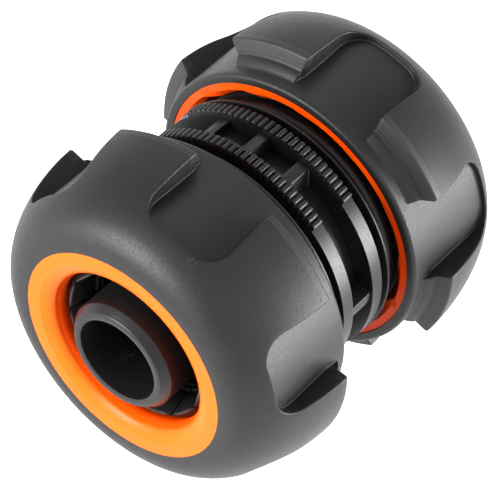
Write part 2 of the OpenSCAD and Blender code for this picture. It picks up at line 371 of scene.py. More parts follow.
def scratch_group():
    """Thin handling scratches in three directions, broken up into patches."""
    tree, given, out = group_of(
        "Handling scratches", [("Amount", 0.5), ("Spread", 60.0)], ["Mask"])
    total = 0.0
    for turn, stretch, width in (
        ((0.3, 0.2, 0.9), (1, 26, 26), 0.0045), ((0.9, -0.5, 0.2), (24, 1, 24), 0.0035),
        ((-0.4, 1.1, 0.5), (22, 22, 1), 0.003),
    ):
        lines = noise(tree, 42.0, 1, stretch, turn, 0.4)
        gap = scalar(tree, "ABSOLUTE", scalar(tree, "SUBTRACT", lines, 0.5))
        thin = scalar(tree, "LESS_THAN", gap, width)
        total = scalar(tree, "MAXIMUM", thin, total)
    patch = noise(tree, given.outputs["Spread"], 2)
    shown = scalar(tree, "GREATER_THAN", patch, 0.6)
    kept = scalar(tree, "MULTIPLY", total, shown)
    tree.links.new(scalar(tree, "MULTIPLY", kept, given.outputs["Amount"]), out.inputs["Mask"])
    return tree


def dust_group():
    """Tiny light specks."""
    tree, given, out = group_of(
        "Dust specks", [("Density", 0.5), ("Scale", 900.0)], ["Mask"])
    place = tree.nodes.new("ShaderNodeTexCoord")
    cells = tree.nodes.new("ShaderNodeTexVoronoi")
    tree.links.new(place.outputs["Object"], cells.inputs["Vector"])
    tree.links.new(given.outputs["Scale"], cells.inputs["Scale"])
    near = scalar(tree, "LESS_THAN", cells.outputs["Distance"], 0.13)
    pick = tree.nodes.new("ShaderNodeSeparateColor")
    tree.links.new(cells.outputs["Color"], pick.inputs[0])
    some = scalar(tree, "LESS_THAN", pick.outputs[0], given.outputs["Density"])
    tree.links.new(scalar(tree, "MULTIPLY", near, some), out.inputs["Mask"])
    return tree


def shared(name):
    """A shared node group, built the first time that it is asked for."""
    makers = {"Moulded grain": grain_group, "Handling scratches": scratch_group,
              "Dust specks": dust_group}
    return bpy.data.node_groups.get(name) or makers[name]()


def use_group(tree, name, **values):
    node = tree.nodes.new("ShaderNodeGroup")
    node.node_tree = shared(name)
    for key, value in values.items():
        node.inputs[key].default_value = value
    return node


def mixed(tree, factor, first, second):
    """Mixes two colours, given as sockets or tuples, by a factor socket."""
    mix = tree.nodes.new("ShaderNodeMix")
    mix.data_type = "RGBA"
    tree.links.new(factor, mix.inputs["Factor"])
    for socket, value in ((mix.inputs["A"], first), (mix.inputs["B"], second)):
        if isinstance(value, tuple):
            socket.default_value = value
        else:
            tree.links.new(value, socket)
    return mix.outputs["Result"]


def place_round_bore(tree):
    """Distance from the middle plane and distance from the bore's axis, in metres."""
    place = tree.nodes.new("ShaderNodeTexCoord")
    split = tree.nodes.new("ShaderNodeSeparateXYZ")
    tree.links.new(place.outputs["Object"], split.inputs[0])
    across = scalar(tree, "MULTIPLY", split.outputs["Y"], split.outputs["Y"])
    radius = scalar(tree, "SQRT", scalar(tree, "MULTIPLY_ADD", split.outputs["Z"], split.outputs["Z"], across))
    return scalar(tree, "ABSOLUTE", split.outputs["X"]), radius


def from_middle(tree, start, end):
    """Goes from 0 to 1 where the distance from the middle plane goes from start to end, in mm."""
    reach = tree.nodes.new("ShaderNodeMapRange")
    reach.inputs["From Min"].default_value = start * MM
    reach.inputs["From Max"].default_value = end * MM
    tree.links.new(place_round_bore(tree)[0], reach.inputs["Value"])
    return reach.outputs["Result"]


def with_seam(tree, base):
    """The mould's parting line across the lobes, with the paler strip behind it."""
    along, radius = place_round_bore(tree)
    on_lobe = scalar(tree, "GREATER_THAN", radius, SEAM_OVER_R * MM)
    behind = scalar(tree, "LESS_THAN", along, SEAM_AT * MM)
    base = mixed(tree, scalar(tree, "MULTIPLY", on_lobe, behind), base, SEAM_STRIP)
    off = scalar(tree, "ABSOLUTE", scalar(tree, "SUBTRACT", along, SEAM_AT * MM))
    line = scalar(tree, "LESS_THAN", off, SEAM_HALF_W * MM)
    return mixed(tree, scalar(tree, "MULTIPLY", line, on_lobe), base, SEAM_LINE)


def plastic(name, colour, rough, grain, scratches, dust=None, tint=0.06, constants=None, inside=None,
            seam=False):
    """A moulded plastic: mottled colour, grain in bump and roughness, scratches and dust.

    inside gives a painted shade: a deeper colour nearer the middle plane that stands in for the
    shade and inter-reflected light there, with the distances between which it changes.
    """
    material = bpy.data.materials.new(name)
    material.use_nodes = True
    tree = material.node_tree
    shader = tree.nodes["Principled BSDF"]
    for key, value in (constants or {}).items():
        shader.inputs[key].default_value = value
    mottle = noise(tree, 180.0, 3)
    light = tuple(min(1.0, c * (1 + tint) + tint * 0.01) for c in colour) + (1.0,)
    dark = tuple(c * (1 - tint) for c in colour) + (1.0,)
    base = mixed(tree, mottle, dark, light)
    if inside:
        # painted shade: the colour turns deeper nearer the middle plane, standing in for shade and
        # inter-reflection
        base = mixed(tree, from_middle(tree, *inside["change"]), inside["colour"], base)
    if seam:
        base = with_seam(tree, base)
    texture = use_group(tree, "Moulded grain", Scale=grain["scale"], Contrast=grain["contrast"])
    marks = use_group(tree, "Handling scratches", Amount=scratches["amount"],
                      Spread=scratches["spread"])
    base = mixed(tree, marks.outputs["Mask"], base, scratches["colour"])
    roughness = scalar(tree, "MULTIPLY_ADD", texture.outputs["Mask"], rough[1] - rough[0], rough[0])
    if dust:
        specks = use_group(tree, "Dust specks", Density=dust["density"], Scale=dust["scale"])
        base = mixed(tree, specks.outputs["Mask"], base, dust["colour"])
    tree.links.new(base, shader.inputs["Base Color"])
    tree.links.new(roughness, shader.inputs["Roughness"])
    bump = tree.nodes.new("ShaderNodeBump")
    bump.inputs["Strength"].default_value = grain["bump"]
    bump.inputs["Distance"].default_value = grain["depth"]
    tree.links.new(texture.outputs["Height"], bump.inputs["Height"])
    tree.links.new(bump.outputs["Normal"], shader.inputs["Normal"])
    return material


def grip_material():
    colour = tuple(bpy.context.scene.mender_colours.grip)
    return bpy.data.materials.get("mender_grip") or plastic(
        "mender_grip", colour, rough=(0.40, 0.52),
        grain={"scale": 4600.0, "contrast": 1.0, "bump": 0.85, "depth": 0.00004},
        scratches={"amount": 0.25, "spread": 70.0, "colour": (0.10, 0.10, 0.10, 1)},
        dust={"density": 0.07, "scale": 1700.0, "colour": (0.05, 0.05, 0.05, 1)}, seam=True,
        constants={"Specular IOR Level": 0.3})


def black_material():
    colour = tuple(bpy.context.scene.mender_colours.black)
    return bpy.data.materials.get("mender_black") or plastic(
        "mender_black", colour, rough=(0.32, 0.42),
        grain={"scale": 4200.0, "contrast": 1.0, "bump": 0.07, "depth": 0.00004},
        scratches={"amount": 0.35, "spread": 110.0, "colour": (0.09, 0.09, 0.09, 1)},
        dust={"density": 0.1, "scale": 1800.0, "colour": (0.05, 0.05, 0.05, 1)},
        constants={"Specular IOR Level": 0.3})


def orange_material():
    colour = tuple(bpy.context.scene.mender_colours.orange)
    return bpy.data.materials.get("mender_orange") or plastic(
        "mender_orange", colour, rough=(0.30, 0.40),
        grain={"scale": 3600.0, "contrast": 1.0, "bump": 0.12, "depth": 0.00003},
        scratches={"amount": 0.2, "spread": 80.0, "colour": (1.0, 0.45, 0.15, 1)}, tint=0.03,
        # painted shade: the deeper red of the funnel, throat and thread stands in for their shade and
        # inter-reflected light
        inside={"colour": (1.0, 0.07, 0.0002, 1), "change": (29.2, 31.3)},
        constants={"Specular IOR Level": 0.16, "Subsurface Weight": 0.3, "Subsurface Scale": 0.001,
                   "Subsurface Radius": (1.0, 0.3, 0.1)})


# Grip shells

DOME_POWER = 1.82
DOME_ROOT = 0.395
WALL_LEAN = 0.1
LOBE_BACK = 4.5
COLLAR_L = 2.1
REAR_ROUND = 0.7
SECTOR = math.radians(60)
HALF_SECTOR = SECTOR / 2


def dome_r(s, u):
    """Radius of the domed outside at depth u behind the face."""
    share = max(0.0, min(1.0, u / (NUT_L - LOBE_BACK)))
    rise = 1 - (1 - share) ** DOME_POWER
    return s.face_r + (s.lobe_r - s.face_r) * rise ** DOME_ROOT


def plan_height(radius, y):
    return math.sqrt(max(radius * radius - y * y, 0.0))


def wall_section(s, y, normal, u, top, steps=5):
    """Points across a lobe's side wall, from the recess floor up to the lobe's top.

    y and u give the place on the recess outline, normal its outward direction there, and top
    gives the lobe's radius at a depth.
    """
    height = plan_height(top(u), y) - plan_height(s.floor_r, y)
    foot = max(0.01, min(s.foot_round, 0.3 * height))
    edge = max(0.01, min(s.edge_round, 0.5 * height))
    lean = WALL_LEAN * height
    out = []
    for i in range(steps + 1):
        a = math.radians(90 * i / steps)
        shift = -foot * (1 - math.sin(a)) - lean
        py, pu = y + normal[0] * shift, u + normal[1] * shift
        out.append((plan_height(s.floor_r, py) + foot * (1 - math.cos(a)), py, NUT_FACE - pu))
    for i in range(steps + 1):
        a = math.radians(90 * i / steps)
        shift = edge * (1 - math.cos(a))
        py, pu = y + normal[0] * shift, u + normal[1] * shift
        out.append((plan_height(top(pu), py) - edge * (1 - math.sin(a)), py, NUT_FACE - pu))
    return out


def lobe_row(s, u, top_r, floor_r, walls=True):
    """One row of points across a sector at depth u, from one edge to the other."""
    level = SimpleNamespace(**vars(s))
    level.floor_r = floor_r
    half = s.recess_w / 2
    wall = wall_section(level, half, (1, 0), u, lambda depth: top_r)
    if not walls:
        wall = [(plan_height(top_r, p[1]), p[1], p[2]) for p in wall]
    side = []
    for i in range(6):
        y = wall[0][1] * i / 6
        side.append((plan_height(floor_r if walls else top_r, y), y, NUT_FACE - u))
    side += wall
    start, end = wall[-1][1], top_r * math.sin(HALF_SECTOR)
    for i in range(1, 11):
        y = start + (end - start) * i / 10
        side.append((plan_height(top_r, y), y, NUT_FACE - u))
    return [(p[0], -p[1], p[2]) for p in reversed(side[1:])] + side


def recess_outline(s, rear):
    """Places and outward directions along a recess's front, from one side to the other."""
    half, radius, front = s.recess_w / 2, s.recess_r, s.recess_from
    right = [((half, rear), (1, 0))]
    for i in range(0, 15):
        a = math.radians(90 * i / 14)
        right.append(((half - radius + radius * math.cos(a), front + radius - radius * math.sin(a)),
                      (math.cos(a), -math.sin(a))))
    for i in range(1, 9):
        right.append((((half - radius) * (1 - i / 8), front), (0, -1)))
    left = [((-p[0], p[1]), (-n[0], n[1])) for p, n in right[:-1]]
    return left + right[::-1]


def filled(outline, spacing, lift):
    """Triangles over a flat outline of (y, depth) points, lifted to the surface."""
    low_y, high_y = min(p[0] for p in outline), max(p[0] for p in outline)
    low_u, high_u = min(p[1] for p in outline), max(p[1] for p in outline)
    inner = []
    count_y = max(1, round((high_y - low_y) / spacing))
    count_u = max(1, round((high_u - low_u) / spacing))
    for i in range(1, count_y):
        for j in range(1, count_u):
            y = low_y + (high_y - low_y) * i / count_y
            u = low_u + (high_u - low_u) * j / count_u
            if inside_by(outline, y, u, spacing * 0.45):
                inner.append((y, u))
    count = len(outline)
    points = [Vector(p) for p in outline + inner]
    flat, _, faces, *_ = delaunay_2d_cdt(points, [], [list(range(count))], 1, 1e-6)
    return [lift(p[0], p[1]) for p in flat], [tuple(f) for f in faces]


def inside_by(outline, y, u, margin):
    """Whether a place lies in an outline and at least a margin from it."""
    odd = False
    for (y0, u0), (y1, u1) in zip(outline, outline[1:] + outline[:1]):
        if (u0 > u) != (u1 > u) and y < (y1 - y0) * (u - u0) / (u1 - u0) + y0:
            odd = not odd
        along = max(0, min(1, ((y - y0) * (y1 - y0) + (u - u0) * (u1 - u0))
                           / max((y1 - y0) ** 2 + (u1 - u0) ** 2, 1e-12)))
        if math.hypot(y - y0 - along * (y1 - y0), u - u0 - along * (u1 - u0)) < margin:
            return False
    return odd


def lobe_rear_rows(s):
    """Depth, lobe radius and recess radius of the rows from the wide dome to the collar."""
    lobe_to = NUT_L - LOBE_BACK
    rows = []
    first, last = REAR_FROM, lobe_to - 0.4
    for i in range(15):
        u = first + (last - first) * i / 14
        rows.append((u, dome_r(s, u)))
    edge = 0.45
    for a in (15, 30, 45, 60, 75):
        t = math.radians(a)
        rows.append((last + edge * math.sin(t), s.lobe_r - edge * (1 - math.cos(t))))
    plinth = s.floor_r + 1.3
    rows += [(lobe_to + 0.3, s.lobe_r - 1.3), (lobe_to + 0.55, plinth + 0.4),
             (lobe_to + 0.68, plinth + 0.1), (lobe_to + 0.85, plinth)]
    collar = NUT_L - COLLAR_L
    for i in range(1, 7):
        share = i / 6
        rows.append((lobe_to + 0.85 + (collar - 0.1 - lobe_to - 0.85) * share,
                     plinth - 1.27 * share ** 1.6))
    return [(u, r, s.floor_r) for u, r in rows]


# Depths at which the sector's net changes from revolved rows to a filled field and back
FIELD_FROM = 2.6
REAR_FROM = 9.6


def grip_sector(s):
    """One sixth of a grip shell with a recess in its middle."""
    points, faces = [], []
    across = [HALF_SECTOR * (-1 + 2 * j / 26) for j in range(27)]
    front = []
    for i in range(17):
        u = FIELD_FROM * (i / 16) ** 2
        front.append([around(dome_r(s, u), a, NUT_FACE - u) for a in across])
    add_net(points, faces, grid(front))

    top = lambda u: dome_r(s, u)
    strip = [wall_section(s, p[0], n, p[1], top) for p, n in recess_outline(s, REAR_FROM)]
    add_net(points, faces, grid(strip))

    rear_rows = [lobe_row(s, *row) for row in lobe_rear_rows(s)]
    first = rear_rows[0]
    edge_steps = 9
    side = []
    for i in range(1, edge_steps):
        u = FIELD_FROM + (REAR_FROM - FIELD_FROM) * i / edge_steps
        side.append((dome_r(s, u) * math.sin(HALF_SECTOR), u))
    n_wall = len(strip[0])
    high = [(p[1], NUT_FACE - p[2]) for p in (row[-1] for row in strip)]
    low = [(p[1], NUT_FACE - p[2]) for p in (row[0] for row in strip)]
    flat = [(p[1], NUT_FACE - p[2]) for p in first]
    cut = 10
    left_rear, right_rear = flat[:cut + 1], flat[-cut - 1:]
    front_line = [(dome_r(s, FIELD_FROM) * math.sin(a), FIELD_FROM) for a in across]
    field = (front_line + side + right_rear[::-1][:-1] + high[::-1] + left_rear[::-1][1:]
             + [(-y, u) for y, u in side[::-1]])
    add_net(points, faces, filled(
        field, 0.75, lambda y, u: (plan_height(dome_r(s, u), y), y, NUT_FACE - u)))
    floor_line = flat[cut + n_wall:len(flat) - cut - n_wall]
    bed = low + floor_line[::-1]
    add_net(points, faces, filled(
        bed, 0.9, lambda y, u: (plan_height(s.floor_r, y), y, NUT_FACE - u)))

    collar_r = s.floor_r
    rear = list(rear_rows)
    collar = NUT_L - COLLAR_L
    for u in (collar, collar + 0.7, NUT_L - REAR_ROUND):
        rear.append(lobe_row(s, u, collar_r, collar_r, walls=False))
    for r, u in arc((collar_r - REAR_ROUND, NUT_L - REAR_ROUND), REAR_ROUND, 0, 90, 5)[1:]:
        rear.append(lobe_row(s, u, r, r, walls=False))
    angles = [math.atan2(p[1], p[0]) for p in rear[-1]]
    spread = HALF_SECTOR / angles[-1]
    inner = [(s.ring_r, NUT_L), (s.ring_r, 8), (s.face_r + 3, 4.5), (s.face_r + 0.5, 1.2)]
    for r, u in inner:
        rear.append([around(r, a * spread, NUT_FACE - u) for a in angles])
    add_net(points, faces, grid(rear))

    low_row = [around(inner[-1][0], a * spread, NUT_FACE - inner[-1][1]) for a in angles]
    lip = [(dome_r(s, 0) * math.sin(a), 0) for a in across]
    ring = [(p[1], 1.0) for p in low_row]
    base = len(points)
    points += low_row + [around(dome_r(s, 0), a, NUT_FACE) for a in across]
    faces += zipped(base, angles, spread, base + len(low_row), across)
    return points, faces


def zipped(first, angles, spread, second, across):
    """Triangles between two rows that have different numbers of points."""
    faces = []
    i = j = 0
    while i < len(angles) - 1 or j < len(across) - 1:
        next_i = angles[i + 1] * spread if i < len(angles) - 1 else math.inf
        next_j = across[j + 1] if j < len(across) - 1 else math.inf
        if next_i <= next_j:
            faces.append((first + i, first + i + 1, second + j))
            i += 1
        else:
            faces.append((first + i, second + j + 1, second + j))
            j += 1
    return faces


# Orange rings

LEAD = 36.0
START_ANGLE = 13.0
REAR_BACK = 0.2
REAR_CHAMFER = 0.8
FUNNEL_L = 1.6
THREAD_FROM = 12.9
TAPER_TO = 12.4


def tooth_steps(rise_steps, slack=0.0):
    """Places across a thread start, as shares of its turn and of its height."""
    out = [(i / rise_steps * (1 - slack), i / rise_steps) for i in range(rise_steps + 1)]
    return out + [(1 - slack + 0.004, 0.0)]


def thread_angle(s, share, z):
    """Angle of a place across a thread start at height z."""
    phase = START_ANGLE - (NUT_REAR + REAR_BACK) * 360 / LEAD
    return math.radians(phase + share * 360 / s.starts + z * 360 / LEAD)


def ring_profile(s):
    """Outline of the orange ring as (radius, depth, share of the thread's depth)."""
    lip = s.throat_r - 0.35
    plain = [(s.face_r, 0.0)]
    plain += [(s.mouth_r + 1.4, 0.0), (s.mouth_r + 0.7, 0.0), (s.mouth_r + 0.3, 0.0)]
    plain += [(s.mouth_r + 0.12, 0.02), (s.mouth_r, 0.1)]
    for i in range(1, 9):
        share = i / 8
        plain.append((s.mouth_r + (s.throat_r - s.mouth_r) * math.sin(share * math.pi / 2) ** 0.9,
                      0.1 + (FUNNEL_L - 0.1) * share ** 1.15))
    plain += [(s.throat_r - 0.05, 1.75), (s.throat_r - 0.16, 2.0), (lip + 0.07, 2.3), (lip, 2.6),
              (lip, 3.2), (lip + 1.35, 5.9), (lip + 2.7, 8.6),
              (17.6, 8.9), (17.6, 10.2), (16.9, 10.4), (16.9, 10.9)]
    out = [(r, u, 0.0) for r, u in plain]
    out.append((s.crest_r, TAPER_TO, 0.0))
    rear = NUT_L - REAR_BACK
    for i in range(22):
        share = i / 21
        out.append((s.crest_r, THREAD_FROM + (rear - REAR_CHAMFER - THREAD_FROM) * share, 1.0))
    out.append((s.crest_r + s.thread_h - 0.03, rear, 0.03))
    outside = [(s.ring_r - 0.1, rear), (s.ring_r, rear - 0.1), (s.ring_r, 16), (s.ring_r, 8),
               (s.face_r + 3, 4.5), (s.face_r + 0.5, 1.2)]
    return out + [(r, u, 0.0) for r, u in outside]


def ring_sector(s):
    """One thread start's share of the orange ring."""
    steps = tooth_steps(12)[:-1]
    columns = steps + [(1.0, 0.0)]
    rows = []
    for r, u, depth in ring_profile(s):
        z = NUT_FACE - u
        turn_z = min(z, NUT_FACE - TAPER_TO)
        row = []
        for share, rise in columns:
            row.append(around(r + s.thread_h * rise * depth, thread_angle(s, share, turn_z), z))
        rows.append(row)
    return grid(rows, wrap_rows=True)


# Clamping fingers

GRIP_IN = 12.0
COLLET_R = 16.4
COLLET_END = 9.05
SLIT_FROM = 17.75
SLIT_W = 0.35
SLIT_PHASE = 3.0
TIP_BACK = 3.0
GRIP_FROM = 7.2
GRIP_STEP = 1.25


def finger(s):
    """One clamping finger, closed all round, with a flat lead-in on its inside."""
    lip = s.throat_r - 0.35
    slope = 0.5
    ridge = (GRIP_IN + lip) / 2
    outer = [(ridge + 0.05, TIP_BACK), (ridge + 0.22, TIP_BACK + 0.1),
             (lip - 0.3 + slope * 0.9 - 0.1, 3.95), (lip - 0.3 + slope * 0.9 + 0.02, 4.15),
             (lip - 0.3 + slope * 5.2, 8.4), (COLLET_R, 8.9), (17.1, 9.05), (17.3, 9.2),
             (17.3, 9.9), (COLLET_R, 10.2), (COLLET_R, NUT_FACE - SLIT_FROM + 0.3)]
    inner = [(13.1, NUT_FACE - SLIT_FROM + 0.3), (13.1, 11.2)]
    for k in (2, 1, 0):
        inner += [(GRIP_IN + 0.7, GRIP_FROM + (k + 0.85) * GRIP_STEP),
                  (GRIP_IN + 0.04, GRIP_FROM + k * GRIP_STEP + 0.1), (GRIP_IN, GRIP_FROM + k * GRIP_STEP)]
    inner += [(ridge - 0.25, 3.25), (ridge - 0.1, TIP_BACK + 0.06)]
    half_pitch = math.pi / s.fingers
    columns = 9
    rows = []
    for r, u in outer + inner:
        half = half_pitch - math.asin(SLIT_W / 2 / r)
        flat = (r, u) in inner[-5:]
        row = []
        for j in range(columns):
            a = half * (-1 + 2 * j / (columns - 1))
            radius = r * math.cos(half * 0.6) / math.cos(a) if flat else r
            row.append(around(radius, a, NUT_FACE - u))
        rows.append(row)
    points, faces = grid(rows, wrap_rows=True)
    n = len(rows)
    faces.append(tuple(i * columns for i in range(n)))
    faces.append(tuple(i * columns + columns - 1 for i in range(n))[::-1])
    return points, faces


def collet_ring():
    """The solid ring behind the fingers."""
    outline = [(13.1, COLLET_END), (COLLET_R - 0.2, COLLET_END), (COLLET_R, COLLET_END + 0.2),
               (COLLET_R, SLIT_FROM), (13.1, SLIT_FROM)]
    rows = []
    for r, z in outline:
        rows.append([around(r, math.radians(2 * j), z) for j in range(180)])
    return grid(rows, wrap_rows=True, wrap_cols=True)


# Body

FLANGE_IN = 2.5
FLANGE_OUT = 4.9
STOP_IN = 6.25
STOP_OUT = 6.75
GROOVE_R = 19.4
BEAD_AT = 9.3
BEAD_R = 1.4
STOP_R = 22.3
CORE_R = 18.4
FLOOR_H = 18.7
ROOT_R = 21.15
SLEEVE_FROM = 11.0
SLEEVE_END = 16.95
SLEEVE_IN = 16.7
POCKET_FLOOR = 6.5
DRAW_ANGLE = 14.0
RIB_STEP = 7.8
RIB_DROP = 0.5
KNURL_TEETH = 29
KNURL_PITCH = 3.0
KNURL_TOOTH_HALF = 0.44


def half_body_profile(s):
    """Outline of one end of the body as (radius, z, thread share), from the middle out."""
    out = [(CORE_R, 0.0), (CORE_R, FLANGE_IN + 0.5), (GROOVE_R, FLANGE_IN + 0.6),
           (GROOVE_R, STOP_IN - 0.25), (GROOVE_R + 0.07, STOP_IN - 0.07), (GROOVE_R + 0.25, STOP_IN)]
    out += [(STOP_R - 0.15, STOP_IN), (STOP_R - 0.04, STOP_IN + 0.04), (STOP_R, STOP_IN + 0.15)]
    out += [(STOP_R, STOP_OUT - 0.15), (STOP_R - 0.04, STOP_OUT - 0.04), (STOP_R - 0.15, STOP_OUT)]
    out += [(GROOVE_R + 0.25, STOP_OUT), (GROOVE_R + 0.07, STOP_OUT + 0.07), (GROOVE_R, STOP_OUT + 0.25)]
    out += [(r, z) for z, r in arc((BEAD_AT, GROOVE_R), BEAD_R, 180, 0, 14)]
    out += [(GROOVE_R, SLEEVE_FROM), (ROOT_R - 0.15, SLEEVE_FROM)]
    out = [(r, z, 0.0) for r, z in out]
    out.append((ROOT_R, SLEEVE_FROM + 0.05, 1.0))
    for i in range(1, 14):
        out.append((ROOT_R, SLEEVE_FROM + (SLEEVE_END - 0.25 - SLEEVE_FROM) * i / 13, 1.0))
    plain = [(ROOT_R, SLEEVE_END - 0.2), (ROOT_R - 0.2, SLEEVE_END), (SLEEVE_IN, SLEEVE_END),
             (SLEEVE_IN, POCKET_FLOOR), (s.spigot_r + 0.3, POCKET_FLOOR),
             (s.spigot_r + 0.09, POCKET_FLOOR + 0.09), (s.spigot_r, POCKET_FLOOR + 0.3),
             (s.spigot_r, 14.0), (s.spigot_r, 23.0), (s.spigot_r, TIP_END - 1.5),
             (s.spigot_r - 0.03, TIP_END - 1.36), (s.spigot_r - 0.12, TIP_END - 1.22),
             (s.tip_r + 0.16, TIP_END - 0.16), (s.tip_r + 0.06, TIP_END - 0.04), (s.tip_r - 0.05, TIP_END),
             (s.bore_r + 0.12, TIP_END), (s.bore_r + 0.03, TIP_END - 0.04), (s.bore_r, TIP_END - 0.14),
             (s.bore_r, 24.0), (s.bore_r, 16.0), (s.bore_r, 8.0), (s.bore_r, 0.0)]
    return out + [(r, z, 0.0) for r, z in plain]


def half_body(s):
    """One end of the body as an open surface that ends at the middle plane."""
    steps = tooth_steps(11, slack=0.031)
    per_start = len(steps)
    count = per_start * s.starts
    profile = half_body_profile(s)
    thread_rows = [i for i, row in enumerate(profile) if row[2]]
    rows = []
    for i, (r, z, depth) in enumerate(profile):
        turn_z = min(max(z, SLEEVE_FROM), SLEEVE_END)
        pull = 1.0
        if i < thread_rows[0]:
            pull = min(1.0, i / (thread_rows[0] - 1)) ** 2
        if i > thread_rows[-1]:
            pull = 1 - (i - thread_rows[-1]) / (len(profile) - 1 - thread_rows[-1])
        row = []
        for j in range(count):
            start, step = divmod(j, per_start)
            share, rise = steps[step]
            even = 2 * math.pi * j / count
            aligned = thread_angle(s, start + share, turn_z)
            away = aligned - thread_angle(s, 0, turn_z) - even + lead_in(s, turn_z)
            radius = r + (s.thread_h - 0.05) * rise * depth
            row.append(around(radius, even + away * pull, z))
        rows.append(row)
    return grid(rows, wrap_cols=True)


def lead_in(s, z):
    """The thread's angle at height z, less whole starts."""
    start = 2 * math.pi / s.starts
    return math.remainder(thread_angle(s, 0, z), start)


def flange_ring(s):
    """A flange with two fields of rounded knurl teeth, drawn along z about its middle."""
    half = (FLANGE_OUT - FLANGE_IN) / 2
    tooth = []
    for k in range(13):
        a = math.radians(15 * k - 90)
        tooth.append((KNURL_TOOTH_HALF * math.sin(a), max(0.0, math.cos(a)) ** 0.6))
    angles = []
    for side in (0, 180):
        for k in range(KNURL_TEETH):
            centre = side + (k - (KNURL_TEETH - 1) / 2) * KNURL_PITCH
            angles += [(centre + c * KNURL_PITCH, h) for c, h in tooth]
        end = side + KNURL_TEETH / 2 * KNURL_PITCH
        gap = 180 - KNURL_TEETH * KNURL_PITCH
        angles += [(end + gap * i / 44, 0.0) for i in range(44)]
    section = [(17.6, -half), (s.flange_r - 0.5, -half), (s.flange_r - 0.05, -half),
               (s.flange_r - 0.01, -half + 0.01), (s.flange_r, -half + 0.04)]
    rim = (-0.95, -0.92, -0.86, -0.78, -0.2, 0.2, 0.78, 0.86, 0.92, 0.95)
    section += [(s.flange_r, half * v) for v in rim]
    section += [(s.flange_r, half - 0.04), (s.flange_r - 0.01, half - 0.01),
                (s.flange_r - 0.05, half), (s.flange_r - 0.5, half), (17.6, half)]
    rows = []
    for r, z in section:
        reach = abs(z) / half
        past = max(0.0, reach - 0.78) / 0.19
        round_off = math.sqrt(max(0.0, 1 - past ** 2))
        lift = s.knurl_h * round_off if r > s.flange_r - 0.3 else 0.0
        rows.append([around(r + lift * h, math.radians(a), z) for a, h in angles])
    return grid(rows, wrap_rows=True, wrap_cols=True)


def rib(s, y, low, flare=0.12):
    """A rib between the flanges, flared where it meets them, with a rounded top."""
    end = FLANGE_IN + 0.08
    half = s.rib_w / 2
    side = [(end, half + flare)]
    for i in range(1, 6):
        a = math.radians(90 * i / 5)
        side.append((FLANGE_IN - flare * math.sin(a), half + flare * (1 - math.sin(a)) ** 1.0
                     * (1 - i / 5)))
    side += [(x, half) for x in (1.2, 0.4)]
    outline = side + [(-x, w) for x, w in reversed(side)]
    outline = outline + [(x, -w) for x, w in reversed(outline)]
    rows = []
    for drop, inset in ((None, 0.0), (0.16, 0.0), (0.05, 0.05), (0.0, 0.16)):
        row = []
        for x, w in outline:
            py = y + w - math.copysign(inset, w)
            top = plan_height(s.flange_r - RIB_DROP, py)
            row.append((x, py, low if drop is None else top - drop))
        rows.append(row)
    points, faces = grid(rows, wrap_cols=True)
    n = len(outline)
    faces.append(tuple(range(n)))
    faces.append(tuple(range(3 * n, 4 * n)))
    return points, faces


def block(size_x, size_y, low, high):
    points = [(x, y, z) for z in (low, high)
              for x, y in ((-size_x, -size_y), (size_x, -size_y), (size_x, size_y), (-size_x, size_y))]
    faces = [(0, 1, 2, 3), (4, 5, 6, 7), (0, 1, 5, 4), (1, 2, 6, 5), (2, 3, 7, 6), (3, 0, 4, 7)]
    return points, faces


def solid(name, net, place, weld_at=0.001):
    """A closed object from a net in millimetres, put in place and then in metres."""
    mesh = weld(mesh_from(name, *net), weld_at)
    mesh.transform(place)
    return object_of(name, mesh)


def make_body(s):
    """The whole body as one closed mesh."""
    points, faces = [], []
    near = Matrix.Rotation(math.radians(180), 3, "Y")
    net = half_body(s)
    lay = Matrix.Rotation(math.radians(90), 3, "Y")
    far_points = [lay @ Vector(p) for p in net[0]]
    add_net(points, faces, (far_points, net[1]))
    add_net(points, faces, (far_points and [near @ p for p in far_points], net[1]))
    scale = Matrix.Scale(MM, 4)
    body = solid("body_core", (points, faces), scale)
    draw = scale @ Matrix.Rotation(math.radians(-DRAW_ANGLE), 4, "X")
    others = []
    for side in (-1, 1):
        place = (draw @ Matrix.Translation((side * (FLANGE_IN + FLANGE_OUT) / 2, 0, 0))
                 @ Matrix.Rotation(math.radians(90), 4, "Y"))
        others.append(solid("flange", flange_ring(s), place))
    others.append(solid("floors", block(FLANGE_IN + 0.05, RIB_STEP, -FLOOR_H, FLOOR_H), draw))
    for turn in (0, 180):
        half_turn = draw @ Matrix.Rotation(math.radians(turn), 4, "X")
        for y in (-RIB_STEP, 0, RIB_STEP):
            others.append(solid("rib", rib(s, y, 15.0), half_turn))
        quarter = draw @ Matrix.Rotation(math.radians(turn + 90), 4, "X")
        others.append(solid("rib", rib(s, 0, 15.0), quarter))
    bore = solid("bore", bore_net(s), scale)
    joined(body, others)
    cut = body.modifiers.new("bore", "BOOLEAN")
    cut.operation = "DIFFERENCE"
    cut.solver = "MANIFOLD"
    cut.object = bore
    baked(body)
    bpy.data.objects.remove(bore)
    return body


def bore_net(s):
    """A rod as wide as the bore, just shorter than the core."""
    half = FLANGE_OUT
    rows = []
    for r, x in ((0.01, -half), (s.bore_r, -half), (s.bore_r, half), (0.01, half)):
        rows.append([(x, r * math.cos(math.radians(2 * j)), r * math.sin(math.radians(2 * j)))
                     for j in range(180)])
    return grid(rows, wrap_rows=True, wrap_cols=True)


# Operators

class MENDER_OT_grips(bpy.types.Operator):
    """Build the two soft grips with their six lobes"""

    bl_idname = "mender.grips"
    bl_label = "Grips"

    def execute(self, context):
        s = in_mm(context.scene.mender_sizes)
        for end in ENDS:
            obj = object_of("grip", mesh_from("grip", *grip_sector(s)))
            ring_of(obj, 6, SECTOR, 0.0, grip_material())
            weld(obj.data, 0.003)
            obj.data.transform(END_TURN[end])
            finish_piece(obj, f"{end}_grip", grip_material())
            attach(obj, f"{end}_nut")
            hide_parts(f"{end}_grip_shell")
        return {"FINISHED"}


